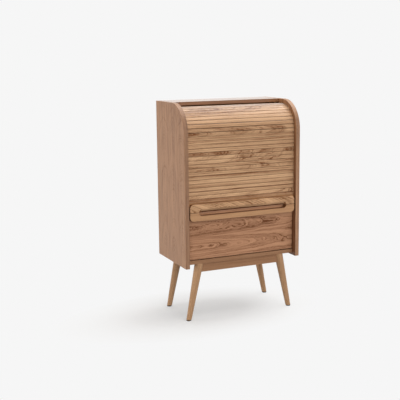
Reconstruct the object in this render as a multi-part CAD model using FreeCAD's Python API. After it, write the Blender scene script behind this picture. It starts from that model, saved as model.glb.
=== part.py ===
import FreeCAD, Part
import math
import os

from FreeCAD import Vector

# A roll-front binder cabinet: a slatted shutter over a drawer, on splayed legs.
# Lengths are in millimetres. +X is to the right, -Y is the front, +Z is up.
# The origin is on the floor, under the middle of the cabinet.

# Overall sizes
overall_width = 645.0
overall_depth = 370.0
overall_height = 1100.0
carcass_bottom = 284.0
corner_radius = 150.0

# Carcass panels
side_thickness = 22.0
top_thickness = 18.0
top_set_back = 183.5
bottom_thickness = 20.0
bottom_set_back = 31.0
side_hang = 12.0
divider_thickness = 18.0
back_thickness = 6.0
back_recess = 3.0
rebate_width = 10.0
liner_thickness = 4.0
liner_groove_depth = 4.0
edge_ease = 0.8
fit_clearance = 0.2

# Height of the seam between the shutter and the drawer front
seam_height = 564.0
seam_gap = 1.5

# Shutter
slat_pitch = 19.4
slat_gap = 1.5
slat_thickness = 9.0
slat_chamfer = 1.0
shutter_set_back = 24.0
slat_tongue = 8.0
tail_cover = 40.0
rear_bend_radius = 90.0
back_run_margin = 5.0
canvas_thickness = 0.8
canvas_side_margin = 2.0
glue_line = 0.1
liner_gap = 3.0
track_clearance = 0.3
track_end_clearance = 1.0
track_reserve = 40.0
batten_thickness = 10.0
batten_end_gap = 3.0
rest_clearance = 0.3
stop_length = 14.0
stop_depth = 12.0
stop_height = 20.0

# Handle, in two halves that meet at the seam
handle_half_height = 42.5
handle_top_gap = 1.0
handle_set_back = 2.5
handle_end_gap = 6.0
handle_corner_radius = 20.0
handle_seam_radius = 2.0
handle_edge_radius = 1.5
slot_half_height = 17.0
slot_end_margin = 48.0
scoop_lip = 6.0
scoop_depth = 9.0
handle_screw_shares = (0.06, 0.35, 0.65, 0.94)

# Drawer
drawer_front_thickness = 18.0
drawer_front_gap = 2.0
drawer_bottom_gap = 4.0
drawer_stop_gap = 1.0
drawer_side_thickness = 12.0
drawer_rear_gap = 22.0
drawer_headroom = 30.0
drawer_floor_gap = 10.0
drawer_panel_thickness = 6.0
drawer_panel_rise = 10.0
drawer_groove_depth = 6.0
drawer_edge_ease = 2.0
bumper_radius = 4.0
bumper_thickness = 0.7
bumper_spread_share = 0.8

# Drawer runners, three members on each side with balls between them
runner_front_gap = 2.0
runner_rear_gap = 8.0
runner_width = 12.7
runner_height = 45.0
runner_steel = 1.2
runner_web_gap = 2.8
runner_lip_gap = 2.2
ball_radius = 1.85
ball_clearance = 0.05
ball_count = 4
retainer_thickness = 0.6
retainer_length = 120.0
runner_screw_shares = (0.12, 0.5, 0.88)

# Legs and aprons
leg_top_side_inset = 93.7
leg_top_front_inset = 53.0
foot_side_inset = 32.5
foot_front_inset = 51.0
leg_top_radius = 22.0
foot_radius = 12.8
glide_height = 6.0
glide_inset = 0.6
glide_ease = 1.5
glide_stem_radius = 2.5
glide_stem_length = 20.0
apron_height = 46.0
apron_thickness = 20.0
block_size = 25.0
block_length = 45.0
block_place_shares = (-0.55, 0.0, 0.55)

# Fixings
dowel_radius = 4.0
dowel_length = 30.0
dowel_in_edge = 10.0
dowel_place_shares = (0.3, 0.7)
cam_radius = 7.5
cam_depth = 12.5
cam_from_end = 34.0
cam_bolt_radius = 3.5
cam_bolt_bite = 11.0
cam_place_shares = (0.12, 0.88)
apron_dowel_rise_shares = (0.3, 0.7)
drawer_dowel_radius = 3.0
drawer_dowel_length = 22.0
drawer_dowel_in_edge = 9.0
drawer_dowel_shares = (0.3, 0.6, 0.88)
bore_clearance = 0.05
screw_radius = 2.0
screw_head_radius = 4.0
screw_head_height = 2.4
leg_screw_length = 45.0
leg_screw_spacing = 20.0
handle_screw_length = 32.0
back_screw_length = 14.0
back_screw_shares = (0.1, 0.5, 0.9)
back_screw_edge = 5.0
runner_screw_length = 9.0
runner_screw_head = 1.0

# Places worked out from the sizes above
front_y = -overall_depth / 2
back_y = overall_depth / 2
inner_x = overall_width / 2 - side_thickness
bottom_z = carcass_bottom + side_hang
bottom_top_z = bottom_z + bottom_thickness
top_underside_z = overall_height - top_thickness
back_panel_rear_y = back_y - back_recess
back_panel_front_y = back_panel_rear_y - back_thickness
shutter_bottom_z = seam_height + seam_gap / 2
drawer_top_z = seam_height - seam_gap / 2

shutter_face_y = front_y + shutter_set_back
shutter_back_y = shutter_face_y + slat_thickness
bend_y = front_y + corner_radius
bend_z = overall_height - corner_radius
bend_face_radius = corner_radius - shutter_set_back
bend_back_radius = bend_face_radius - slat_thickness
top_run_face_z = bend_z + bend_face_radius
back_run_face_y = back_panel_front_y - back_run_margin
rear_bend_y = back_run_face_y - rear_bend_radius
rear_bend_z = top_run_face_z - rear_bend_radius
rear_back_radius = rear_bend_radius - slat_thickness
rail_top_z = seam_height + handle_half_height + handle_top_gap

# The shutter's back line, from the lead rail's top: up, over the bend, back, down the rear
front_run = bend_z - rail_top_z
bend_run = bend_back_radius * math.pi / 2
top_run = rear_bend_y - bend_y
rear_run = rear_back_radius * math.pi / 2
to_bend = front_run
to_top = to_bend + bend_run
to_rear_bend = to_top + top_run
to_back = to_rear_bend + rear_run
front_slat_count = math.floor(front_run / slat_pitch)
travel = front_slat_count * slat_pitch
covered = to_top + front_y + top_set_back - bend_y + tail_cover
fixed_slat_count = math.ceil((covered - travel) / slat_pitch)
slat_total = (front_slat_count + fixed_slat_count) * slat_pitch
track_end = max(slat_total + travel, to_back) + track_reserve

drawer_face_y = front_y + bottom_set_back
drawer_front_back_y = drawer_face_y + drawer_front_thickness
divider_front_y = drawer_front_back_y + drawer_stop_gap
divider_top_z = drawer_top_z
divider_z = divider_top_z - divider_thickness
drawer_front_z = bottom_top_z + drawer_bottom_gap
drawer_half_width = inner_x - runner_width
drawer_side_z = bottom_top_z + drawer_floor_gap
drawer_side_top_z = divider_z - drawer_headroom
drawer_side_rear_y = back_panel_front_y - drawer_rear_gap
drawer_panel_z = drawer_side_z + drawer_panel_rise
drawer_inner_x = drawer_half_width - drawer_side_thickness
runner_z = (drawer_side_z + drawer_side_top_z) / 2
runner_front_y = drawer_front_back_y + runner_front_gap
runner_rear_y = drawer_side_rear_y - runner_rear_gap

handle_half_width = inner_x - handle_end_gap
handle_face_y = front_y + handle_set_back
slot_half_width = handle_half_width - slot_end_margin

leg_top_x = overall_width / 2 - leg_top_side_inset
leg_top_y = overall_depth / 2 - leg_top_front_inset
foot_x = overall_width / 2 - foot_side_inset
foot_y = overall_depth / 2 - foot_front_inset


def box(x0, x1, y0, y1, z0, z1):
    """A block between two values on each axis."""
    return Part.makeBox(x1 - x0, y1 - y0, z1 - z0, Vector(x0, y0, z0))


def rod(radius, length, start, direction):
    """A round bar from start along direction."""
    return Part.makeCylinder(radius, length, start, direction)


def mirrored(shape):
    """The same shape on the other side of the middle plane."""
    return shape.mirror(Vector(), Vector(1, 0, 0))


def rounded(shape, radius, low, high):
    """The shape with a fillet on each edge that lies wholly in the box between two corners."""
    margin = Vector(fit_clearance, fit_clearance, fit_clearance)
    size = high - low + margin * 2
    room = Part.makeBox(size.x, size.y, size.z, low - margin).BoundBox
    chosen = [edge for edge in shape.Edges if all(room.isInside(v.Point) for v in edge.Vertexes)]
    return shape.makeFillet(radius, chosen)


def eased_board(x0, x1, y0, y1, z0, z1, faces, radius=edge_ease):
    """A block whose edges round each named face, such as -y or +z, are rounded."""
    shape = box(x0, x1, y0, y1, z0, z1)
    sheets = {
        "-y": (Vector(x0, y0, z0), Vector(x1, y0, z1)),
        "+y": (Vector(x0, y1, z0), Vector(x1, y1, z1)),
        "-z": (Vector(x0, y0, z0), Vector(x1, y1, z0)),
        "+z": (Vector(x0, y0, z1), Vector(x1, y1, z1)),
    }
    for face in faces:
        shape = rounded(shape, radius, *sheets[face])
    return shape


def both_sides(shapes):
    """The shapes and their mirror images."""
    return list(shapes) + [mirrored(shape) for shape in shapes]


def cut_all(shape, tools):
    """The shape with every tool taken away, as one clean solid."""
    result = shape.cut(list(tools)) if tools else shape
    return result.removeSplitter()


def save(name, shapes):
    """Write one named piece, or a group of alike pieces, to its own file."""
    solids = [solid for shape in shapes for solid in shape.Solids]
    whole = solids[0] if len(solids) == 1 else Part.makeCompound(solids)
    whole.exportStep(os.path.join("parts", name + ".step"))


def yz_face(edges):
    """A face in the plane X = 0 from edges in order."""
    return Part.Face(Part.Wire(edges))


def spread(low, high, shares):
    """Places between low and high at the given shares."""
    return [low + (high - low) * share for share in shares]


def line(start, end):
    """A straight edge between two (y, z) points in the plane X = 0."""
    return Part.LineSegment(Vector(0, *start), Vector(0, *end)).toShape()


def arc(start, middle, end):
    """An arc through three (y, z) points in the plane X = 0."""
    return Part.Arc(Vector(0, *start), Vector(0, *middle), Vector(0, *end)).toShape()


def screw(length, start, direction, head_height=screw_head_height):
    """A screw whose head's outer face is at start, pointing along direction."""
    head = Part.makeCone(screw_head_radius, screw_radius, head_height, start, direction)
    return head.fuse(rod(screw_radius, length, start, direction)).removeSplitter()


def screw_bore(length, start, direction, head_height=screw_head_height):
    """The hole that a screw sits in, a little larger all round."""
    wide = screw_head_radius + bore_clearance
    narrow = screw_radius + bore_clearance
    head = Part.makeCone(wide, narrow, head_height + bore_clearance, start, direction)
    return head.fuse(rod(narrow, length + bore_clearance, start, direction))


def station(distance, outward=0):
    """Point and turn of the shutter's back line at a distance along it, or of a line outside it."""
    front = bend_back_radius + outward
    rear = rear_back_radius + outward
    if distance < to_bend:
        return bend_y - front, rail_top_z + distance, 0.0
    if distance < to_top:
        turn = (distance - to_bend) / bend_back_radius
        return bend_y - front * math.cos(turn), bend_z + front * math.sin(turn), turn
    if distance < to_rear_bend:
        return bend_y + distance - to_top, bend_z + front, math.pi / 2
    if distance < to_back:
        turn = math.pi / 2 + (distance - to_rear_bend) / rear_back_radius
        return rear_bend_y - rear * math.cos(turn), rear_bend_z + rear * math.sin(turn), turn
    return rear_bend_y + rear, rear_bend_z - (distance - to_back), math.pi


def line_along(start, end, outward):
    """Edges that follow the shutter's back line, or a line outside it, between two distances."""
    corners = [stop for stop in (to_bend, to_top, to_rear_bend, to_back) if start < stop < end]
    stops = [start] + corners + [end]
    edges = []
    for near, far in zip(stops, stops[1:]):
        from_point = station(near, outward)[:2]
        to_point = station(far, outward)[:2]
        turned = station((near + far) / 2, outward)
        on_bend = to_bend <= near < to_top or to_rear_bend <= near < to_back
        edges.append(arc(from_point, turned[:2], to_point) if on_bend else line(from_point, to_point))
    return edges


def band(start, end, low, high):
    """A face between two lines alongside the shutter's back line, from start to end along it."""
    inside = line_along(start, end, low)
    outside = line_along(start, end, high)
    foot = line(station(start, low)[:2], station(start, high)[:2])
    tail = line(station(end, high)[:2], station(end, low)[:2])
    return yz_face([foot] + outside + [tail] + inside[::-1])


def track_face():
    """Section of the track that the slats run in, the same on both sides."""
    half_slat = (slat_pitch - slat_gap) / 2
    swell = math.hypot(rear_bend_radius, half_slat) - rear_bend_radius
    start = shutter_bottom_z - rest_clearance - rail_top_z
    return band(start, track_end, -track_clearance, slat_thickness + swell + track_clearance)


def liner_face(grow):
    """Section of the bent liner that keeps the contents away from the shutter."""
    outward = grow - canvas_thickness - glue_line - liner_gap
    inward = outward - liner_thickness - 2 * grow
    end = to_back + rear_bend_z - divider_top_z
    return band(to_top - grow, end + grow, inward, outward)


def extruded(face, x0, x1):
    """A face in the plane X = 0 swept from x0 to x1."""
    return face.translated(Vector(x0, 0, 0)).extrude(Vector(x1 - x0, 0, 0))


def panel_joints(panel_z, thickness, y0, y1):
    """Cam fittings and dowels at the right end of a level panel, with their bores."""
    middle_z = panel_z + thickness / 2
    cams = []
    bolts = []
    dowels = []
    bores = []
    outward = Vector(1, 0, 0)
    for y in spread(y0, y1, cam_place_shares):
        centre = Vector(inner_x - cam_from_end, y, panel_z)
        cams.append(rod(cam_radius, cam_depth, centre, Vector(0, 0, 1)))
        bores.append(rod(cam_radius + bore_clearance, cam_depth + bore_clearance, centre, Vector(0, 0, 1)))
        reach = cam_from_end - cam_radius - fit_clearance
        start = Vector(inner_x - reach, y, middle_z)
        bolts.append(rod(cam_bolt_radius, reach + cam_bolt_bite, start, outward))
        bore_start = Vector(inner_x - cam_from_end, y, middle_z)
        bore_length = cam_from_end + cam_bolt_bite + bore_clearance
        bores.append(rod(cam_bolt_radius + bore_clearance, bore_length, bore_start, outward))
    for y in spread(y0, y1, dowel_place_shares):
        in_panel = dowel_length - dowel_in_edge
        start = Vector(inner_x - in_panel, y, middle_z)
        dowels.append(rod(dowel_radius, dowel_length, start, outward))
        bore_start = start - Vector(bore_clearance, 0, 0)
        bores.append(rod(dowel_radius + bore_clearance, dowel_length + 2 * bore_clearance,
                         bore_start, outward))
    return cams, bolts, dowels, bores


def side_outline():
    """The side panel's face: square behind, and one large rounded corner at the front top."""
    diagonal = corner_radius * math.sqrt(0.5)
    return yz_face([
        line((front_y, carcass_bottom), (front_y, bend_z)),
        arc((front_y, bend_z), (bend_y - diagonal, bend_z + diagonal), (bend_y, overall_height)),
        line((bend_y, overall_height), (back_y, overall_height)),
        line((back_y, overall_height), (back_y, carcass_bottom)),
        line((back_y, carcass_bottom), (front_y, carcass_bottom)),
    ])


def back_screw_starts():
    """Where the back panel's screws enter the bottom panel and the divider."""
    reach = inner_x - back_screw_edge
    rows = (bottom_z + bottom_thickness / 2, divider_z + divider_thickness / 2)
    columns = spread(-reach, reach, back_screw_shares)
    return [Vector(x, back_panel_rear_y, z) for z in rows for x in columns]


def carcass():
    """The fixed panels, the liner and what joins them."""
    top_joints = panel_joints(top_underside_z, top_thickness, front_y + top_set_back, back_y)
    bottom_joints = panel_joints(bottom_z, bottom_thickness, drawer_face_y, back_panel_front_y)
    divider_joints = panel_joints(divider_z, divider_thickness, divider_front_y,
                                  back_panel_front_y)
    joints = (top_joints, bottom_joints, divider_joints)
    bores = [bore for joint in joints for bore in joint[3]]
    save("cam_housings", both_sides([cam for joint in joints for cam in joint[0]]))
    save("cam_bolts", both_sides([bolt for joint in joints for bolt in joint[1]]))
    save("panel_dowels", both_sides([dowel for joint in joints for dowel in joint[2]]))

    side = extruded(side_outline(), inner_x, overall_width / 2)
    side = rounded(side, edge_ease, Vector(overall_width / 2, front_y, carcass_bottom),
                   Vector(overall_width / 2, back_y, overall_height))
    side = rounded(side, edge_ease, Vector(inner_x, front_y, carcass_bottom),
                   Vector(inner_x, front_y, bend_z))
    track = extruded(track_face(), inner_x, inner_x + slat_tongue + track_end_clearance)
    liner_groove = extruded(liner_face(fit_clearance), inner_x,
                            inner_x + liner_groove_depth + fit_clearance)
    rebate = box(inner_x, inner_x + rebate_width, back_panel_front_y, back_y,
                 carcass_bottom, top_underside_z)
    runner_bores = [screw_bore(*place) for place in runner_screw_places()]
    side = cut_all(side, [track, liner_groove, rebate] + bores + runner_bores)
    save("side_right", [side])
    save("side_left", [mirrored(side)])

    mirrored_bores = bores + [mirrored(bore) for bore in bores]
    screws = [screw(back_screw_length, start, Vector(0, -1, 0)) for start in back_screw_starts()]
    screw_bores = [screw_bore(back_screw_length, start, Vector(0, -1, 0))
                   for start in back_screw_starts()]
    leg_bores = [screw_bore(leg_screw_length, start, Vector(0, 0, -1)) for start in leg_screw_starts()]

    top = eased_board(-inner_x, inner_x, front_y + top_set_back, back_y,
                      top_underside_z, overall_height, ["-y", "+y"])
    save("top_panel", [cut_all(top, mirrored_bores)])
    bottom = eased_board(-inner_x, inner_x, drawer_face_y, back_panel_front_y,
                         bottom_z, bottom_top_z, ["-y"])
    save("bottom_panel", [cut_all(bottom, mirrored_bores + screw_bores + leg_bores)])
    divider = eased_board(-inner_x, inner_x, divider_front_y, back_panel_front_y,
                          divider_z, divider_top_z, ["-y"])
    save("divider_shelf", [cut_all(divider, mirrored_bores + screw_bores)])
    reach = inner_x + rebate_width - fit_clearance
    back = box(-reach, reach, back_panel_front_y, back_panel_rear_y,
               bottom_z, top_underside_z - fit_clearance)
    save("back_panel", [cut_all(back, screw_bores)])
    save("back_screws", screws)
    liner_reach = inner_x + liner_groove_depth
    save("inner_liner", [extruded(liner_face(0), -liner_reach, liner_reach)])


def slat_section():
    """Section of one slat standing on the shutter's back line, its face towards the front."""
    half = (slat_pitch - slat_gap) / 2
    face = -slat_thickness
    points = [
        (0, -half),
        (face + slat_chamfer, -half),
        (face, -half + slat_chamfer),
        (face, half - slat_chamfer),
        (face + slat_chamfer, half),
        (0, half),
    ]
    return yz_face([line(a, b) for a, b in zip(points, points[1:] + points[:1])])


def slats(first, count):
    """A run of slats, each square to the track where it lies."""
    reach = inner_x + slat_tongue
    bar = extruded(slat_section(), -reach, reach)
    result = []
    for index in range(first, first + count):
        y, z, turn = station((index + 0.5) * slat_pitch)
        slat = bar.copy()
        slat.rotate(Vector(), Vector(1, 0, 0), -math.degrees(turn))
        slat.translate(Vector(0, y, z))
        result.append(slat)
    return result


def canvas_front():
    """The cloth behind the slats that leave the front when the shutter opens."""
    reach = inner_x - canvas_side_margin
    near = shutter_back_y + glue_line
    return box(-reach, reach, near, near + canvas_thickness,
               rail_top_z + rest_clearance, rail_top_z + travel)


def canvas_fixed():
    """The cloth behind the slats on the bend and under the top."""
    reach = inner_x - canvas_side_margin
    face = band(travel, slat_total, -glue_line - canvas_thickness, -glue_line)
    return extruded(face, -reach, reach)


def slot_wire(half_height, y):
    """A finger slot's rounded outline at depth y, level with the seam."""
    reach = slot_half_width - slot_half_height
    low = seam_height - half_height
    high = seam_height + half_height
    far = reach + half_height
    right = Part.Arc(Vector(reach, y, low), Vector(far, y, seam_height), Vector(reach, y, high))
    left = Part.Arc(Vector(-reach, y, high), Vector(-far, y, seam_height), Vector(-reach, y, low))
    edges = [
        Part.LineSegment(Vector(-reach, y, low), Vector(reach, y, low)).toShape(),
        right.toShape(),
        Part.LineSegment(Vector(reach, y, high), Vector(-reach, y, high)).toShape(),
        left.toShape(),
    ]
    return Part.Wire(edges)


def handle_half(sign, seat_y, slot):
    """One half of the handle, from its face to its seat, with its half of the finger slot."""
    seam = seam_height + sign * seam_gap / 2
    far = seam_height + sign * handle_half_height
    right = handle_half_width
    half = box(-right, right, handle_face_y, seat_y, min(seam, far), max(seam, far))
    corners = [(seam, right), (seam, -right), (far, right), (far, -right)]
    for z, x in corners:
        radius = handle_corner_radius if z == far else handle_seam_radius
        half = rounded(half, radius, Vector(x, handle_face_y, z), Vector(x, seat_y, z))
    wide = Vector(right, 0, handle_half_height)
    middle = Vector(0, handle_face_y, seam_height)
    half = rounded(half, handle_edge_radius, middle - wide, middle + wide)
    return cut_all(half, [slot])


def handle_screw_places(seat_y, sign):
    """Places of the screws that hold a handle half, along its middle."""
    z = seam_height + sign * (slot_half_height + handle_half_height) / 2
    return [Vector(x, seat_y, z) for x in spread(-slot_half_width, slot_half_width, handle_screw_shares)]


def shutter():
    """The slats, their canvas, the lead rail with its handle half, and the stops."""
    save("front_slats", slats(0, front_slat_count))
    save("fixed_slats", slats(front_slat_count, fixed_slat_count))
    save("front_canvas", [canvas_front()])
    save("fixed_canvas", [canvas_fixed()])

    reach = inner_x + slat_tongue
    tongue = box(-reach, reach, shutter_face_y, shutter_back_y, shutter_bottom_z, rail_top_z)
    batten_reach = inner_x - batten_end_gap
    batten_y = shutter_back_y + batten_thickness
    batten = box(-batten_reach, batten_reach, shutter_back_y, batten_y, shutter_bottom_z, rail_top_z)
    places = handle_screw_places(batten_y, 1)
    forward = Vector(0, -1, 0)
    bores = [screw_bore(handle_screw_length, place, forward) for place in places]
    save("lead_rail", [cut_all(tongue.fuse(batten), bores)])
    mouth = slot_wire(slot_half_height, handle_face_y)
    throat_y = handle_face_y + scoop_depth
    throat = slot_wire(scoop_lip, throat_y)
    run = Part.Face(throat).extrude(Vector(0, shutter_face_y - throat_y, 0))
    scoop = Part.makeLoft([mouth, throat], True).fuse(run)
    save("shutter_handle", [cut_all(handle_half(1, shutter_face_y, scoop), bores)])
    save("shutter_handle_screws", [screw(handle_screw_length, place, forward) for place in places])

    stop_z = rail_top_z + travel + rest_clearance
    canvas_radius = bend_back_radius - glue_line - canvas_thickness
    rise = max(stop_z + stop_height - bend_z, 0)
    stop_y = bend_y - math.sqrt(canvas_radius ** 2 - rise ** 2) + rest_clearance
    stop = box(inner_x - stop_length, inner_x, stop_y, stop_y + stop_depth, stop_z, stop_z + stop_height)
    save("shutter_stops", both_sides([stop]))


def drawer_joint_places():
    """Dowels that join the drawer's sides to its front and its back, on the right."""
    heights = spread(drawer_side_z, drawer_side_top_z, drawer_dowel_shares)
    middle_x = drawer_half_width - drawer_side_thickness / 2
    back_y_middle = drawer_side_rear_y - drawer_side_thickness / 2
    front_start = drawer_front_back_y - drawer_dowel_in_edge
    side_start = drawer_half_width - drawer_dowel_in_edge
    places = [(Vector(middle_x, front_start, z), Vector(0, 1, 0)) for z in heights]
    places += [(Vector(side_start, back_y_middle, z), Vector(-1, 0, 0)) for z in heights]
    return places


def drawer():
    """The drawer box, its front with the lower handle half, and its fixings."""
    places = drawer_joint_places()
    dowels = [rod(drawer_dowel_radius, drawer_dowel_length, start, way) for start, way in places]
    bore_radius = drawer_dowel_radius + bore_clearance
    bores = [rod(bore_radius, drawer_dowel_length + 2 * bore_clearance, start - way * bore_clearance, way)
             for start, way in places]
    bores += [mirrored(bore) for bore in bores]
    save("drawer_dowels", both_sides(dowels))

    groove_x = drawer_inner_x + drawer_groove_depth + fit_clearance
    groove_front = drawer_front_back_y - drawer_groove_depth - fit_clearance
    groove_low = drawer_panel_z - fit_clearance
    groove_high = drawer_panel_z + drawer_panel_thickness + fit_clearance
    groove = box(-groove_x, groove_x, groove_front, drawer_side_rear_y, groove_low, groove_high)

    screw_y = drawer_front_back_y
    forward = Vector(0, -1, 0)
    screw_places = handle_screw_places(screw_y, -1)
    screw_bores = [screw_bore(handle_screw_length, place, forward) for place in screw_places]
    reach = inner_x - drawer_front_gap
    front = eased_board(-reach, reach, drawer_face_y, drawer_front_back_y,
                        drawer_front_z, drawer_top_z, ["-y", "+y"])
    save("drawer_front", [cut_all(front, [groove] + bores + screw_bores)])
    slot = Part.Face(slot_wire(slot_half_height, handle_face_y)).extrude(
        Vector(0, drawer_face_y - handle_face_y, 0))
    save("drawer_handle", [cut_all(handle_half(-1, drawer_face_y, slot), screw_bores)])
    save("drawer_handle_screws", [screw(handle_screw_length, place, forward) for place in screw_places])

    side = eased_board(drawer_inner_x, drawer_half_width, drawer_front_back_y, drawer_side_rear_y,
                       drawer_side_z, drawer_side_top_z, ["+z"], drawer_edge_ease)
    runner_bores = [screw_bore(*place) for place in runner_drawer_screw_places()]
    side = cut_all(side, [groove] + bores + runner_bores)
    save("drawer_side_right", [side])
    save("drawer_side_left", [mirrored(side)])
    rear_y = drawer_side_rear_y - drawer_side_thickness
    back = box(-drawer_inner_x, drawer_inner_x, rear_y, drawer_side_rear_y,
               groove_high, drawer_side_top_z)
    save("drawer_back", [cut_all(back, bores)])
    panel_x = drawer_inner_x + drawer_groove_depth
    panel_y = drawer_front_back_y - drawer_groove_depth
    panel = box(-panel_x, panel_x, panel_y, drawer_side_rear_y, drawer_panel_z,
                drawer_panel_z + drawer_panel_thickness)
    save("drawer_bottom", [panel])

    bumper_x = inner_x * bumper_spread_share
    bumper_z = divider_z + divider_thickness / 2
    bumper = rod(bumper_radius, bumper_thickness, Vector(bumper_x, divider_front_y, bumper_z), forward)
    save("drawer_bumpers", both_sides([bumper]))


# Runner section, as distances from the cabinet side: each member's web and its lips
middle_web = runner_steel + runner_web_gap
outer_half = runner_height / 2
middle_half = outer_half - runner_steel - 2 * (ball_radius + ball_clearance)
inner_half = middle_half - runner_steel - 2 * (ball_radius + ball_clearance)
middle_lip = runner_width - runner_lip_gap
outer_lip = middle_lip - runner_steel
inner_lip = middle_web + runner_steel + runner_web_gap / 2


def runner_screw_places():
    """Screws through the outer runner into the right side of the cabinet."""
    start_x = inner_x - runner_steel
    return [(runner_screw_length, Vector(start_x, y, runner_z), Vector(1, 0, 0), runner_screw_head)
            for y in spread(runner_front_y, runner_rear_y, runner_screw_shares)]


def runner_drawer_screw_places():
    """Screws through the inner runner into the right side of the drawer."""
    start_x = drawer_half_width + runner_steel
    return [(runner_screw_length, Vector(start_x, y, runner_z), Vector(-1, 0, 0), runner_screw_head)
            for y in spread(runner_front_y, runner_rear_y, runner_screw_shares)]


def channel(web_near, web_far, lip_reach, half_height):
    """A pressed steel channel along Y, placed by its distances from the cabinet side."""
    low = runner_z - half_height
    high = runner_z + half_height
    low_x = inner_x - max(web_far, lip_reach)
    high_x = inner_x - min(web_near, lip_reach)
    outside = box(low_x, high_x, runner_front_y, runner_rear_y, low, high)
    if lip_reach > web_far:
        hollow = box(inner_x - lip_reach, inner_x - web_far, runner_front_y, runner_rear_y,
                     low + runner_steel, high - runner_steel)
    else:
        hollow = box(inner_x - web_near, inner_x - lip_reach, runner_front_y, runner_rear_y,
                     low + runner_steel, high - runner_steel)
    return outside.cut(hollow)


def ball_retainer(web_x, lip_x, half_height, ball_x):
    """A thin steel cage with two rows of balls, between two runner members."""
    middle_y = (runner_front_y + runner_rear_y) / 2
    y0 = middle_y - retainer_length / 2
    y1 = middle_y + retainer_length / 2
    half = half_height + retainer_thickness / 2
    low_x = inner_x - max(web_x + retainer_thickness, lip_x)
    high_x = inner_x - web_x
    cage = box(low_x, high_x, y0, y1, runner_z - half, runner_z + half)
    hollow = box(low_x, inner_x - web_x - retainer_thickness, y0, y1,
                 runner_z - half + retainer_thickness, runner_z + half - retainer_thickness)
    cage = cage.cut(hollow)
    balls = []
    for index in range(ball_count):
        y = y0 + (index + 0.5) * retainer_length / ball_count
        for z in (runner_z - half_height, runner_z + half_height):
            balls.append(Part.makeSphere(ball_radius, Vector(inner_x - ball_x, y, z)))
    return cage.fuse(balls).removeSplitter()


def runners():
    """Three telescoping members on each side, with a ball cage between each two."""
    places = runner_screw_places()
    drawer_places = runner_drawer_screw_places()
    outer = channel(0, runner_steel, outer_lip, outer_half)
    outer = cut_all(outer, [screw_bore(*place) for place in places])
    middle = channel(middle_web, middle_web + runner_steel, middle_lip, middle_half)
    inner = channel(runner_width - runner_steel, runner_width, inner_lip, inner_half)
    inner = cut_all(inner, [screw_bore(*place) for place in drawer_places])
    members = {"runner_outer": outer, "runner_middle": middle, "runner_inner": inner}
    for name, member in members.items():
        save(name + "_right", [member])
        save(name + "_left", [mirrored(member)])
    save("runner_screws", both_sides([screw(*place) for place in places]))
    save("runner_drawer_screws", both_sides([screw(*place) for place in drawer_places]))

    gap = ball_radius + ball_clearance
    outer_web = runner_steel + (runner_web_gap - retainer_thickness) / 2
    outer_ball_x = (middle_web + outer_lip) / 2
    outer_cage = ball_retainer(outer_web, outer_ball_x + ball_radius, middle_half + gap, outer_ball_x)
    save("ball_cages_outer", both_sides([outer_cage]))
    inner_web = middle_web + runner_steel + retainer_thickness / 2
    inner_ball_x = (inner_lip + middle_lip) / 2
    inner_cage = ball_retainer(inner_web, inner_ball_x + ball_radius, inner_half + gap, inner_ball_x)
    save("ball_cages_inner", both_sides([inner_cage]))


def leg_axis_point(z):
    """Centre of the front right leg at a height."""
    share = z / bottom_z
    x = foot_x + (leg_top_x - foot_x) * share
    y = foot_y + (leg_top_y - foot_y) * share
    return Vector(x, -y, z)


def leg_solid(grow):
    """A round leg that leans and tapers, cut level at both ends; grow widens it."""
    foot = leg_axis_point(0)
    head = leg_axis_point(bottom_z)
    axis = head - foot
    taper = (foot_radius - leg_top_radius) / axis.Length
    run_out = leg_top_radius
    way = Vector(axis).normalize()
    low_radius = foot_radius + taper * run_out + grow
    high_radius = leg_top_radius - taper * run_out + grow
    cone = Part.makeCone(low_radius, high_radius, axis.Length + 2 * run_out, foot - way * run_out, way)
    reach = foot_x + leg_top_radius * 2
    slab = box(0, reach, -reach, 0, glide_height, bottom_z)
    return cone.common(slab)


def four_corners(shapes):
    """The front right shapes, then their copies at the other three corners."""
    front = both_sides(shapes)
    return front + [shape.mirror(Vector(), Vector(0, 1, 0)) for shape in front]


def leg_screw_starts():
    """Heads of the screws that go down through the bottom panel into the four legs."""
    head = leg_axis_point(bottom_z)
    starts = []
    for x_sign in (1, -1):
        for y_sign in (1, -1):
            for offset in (-leg_screw_spacing / 2, leg_screw_spacing / 2):
                starts.append(Vector(x_sign * head.x, y_sign * head.y + offset, bottom_top_z))
    return starts


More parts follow.
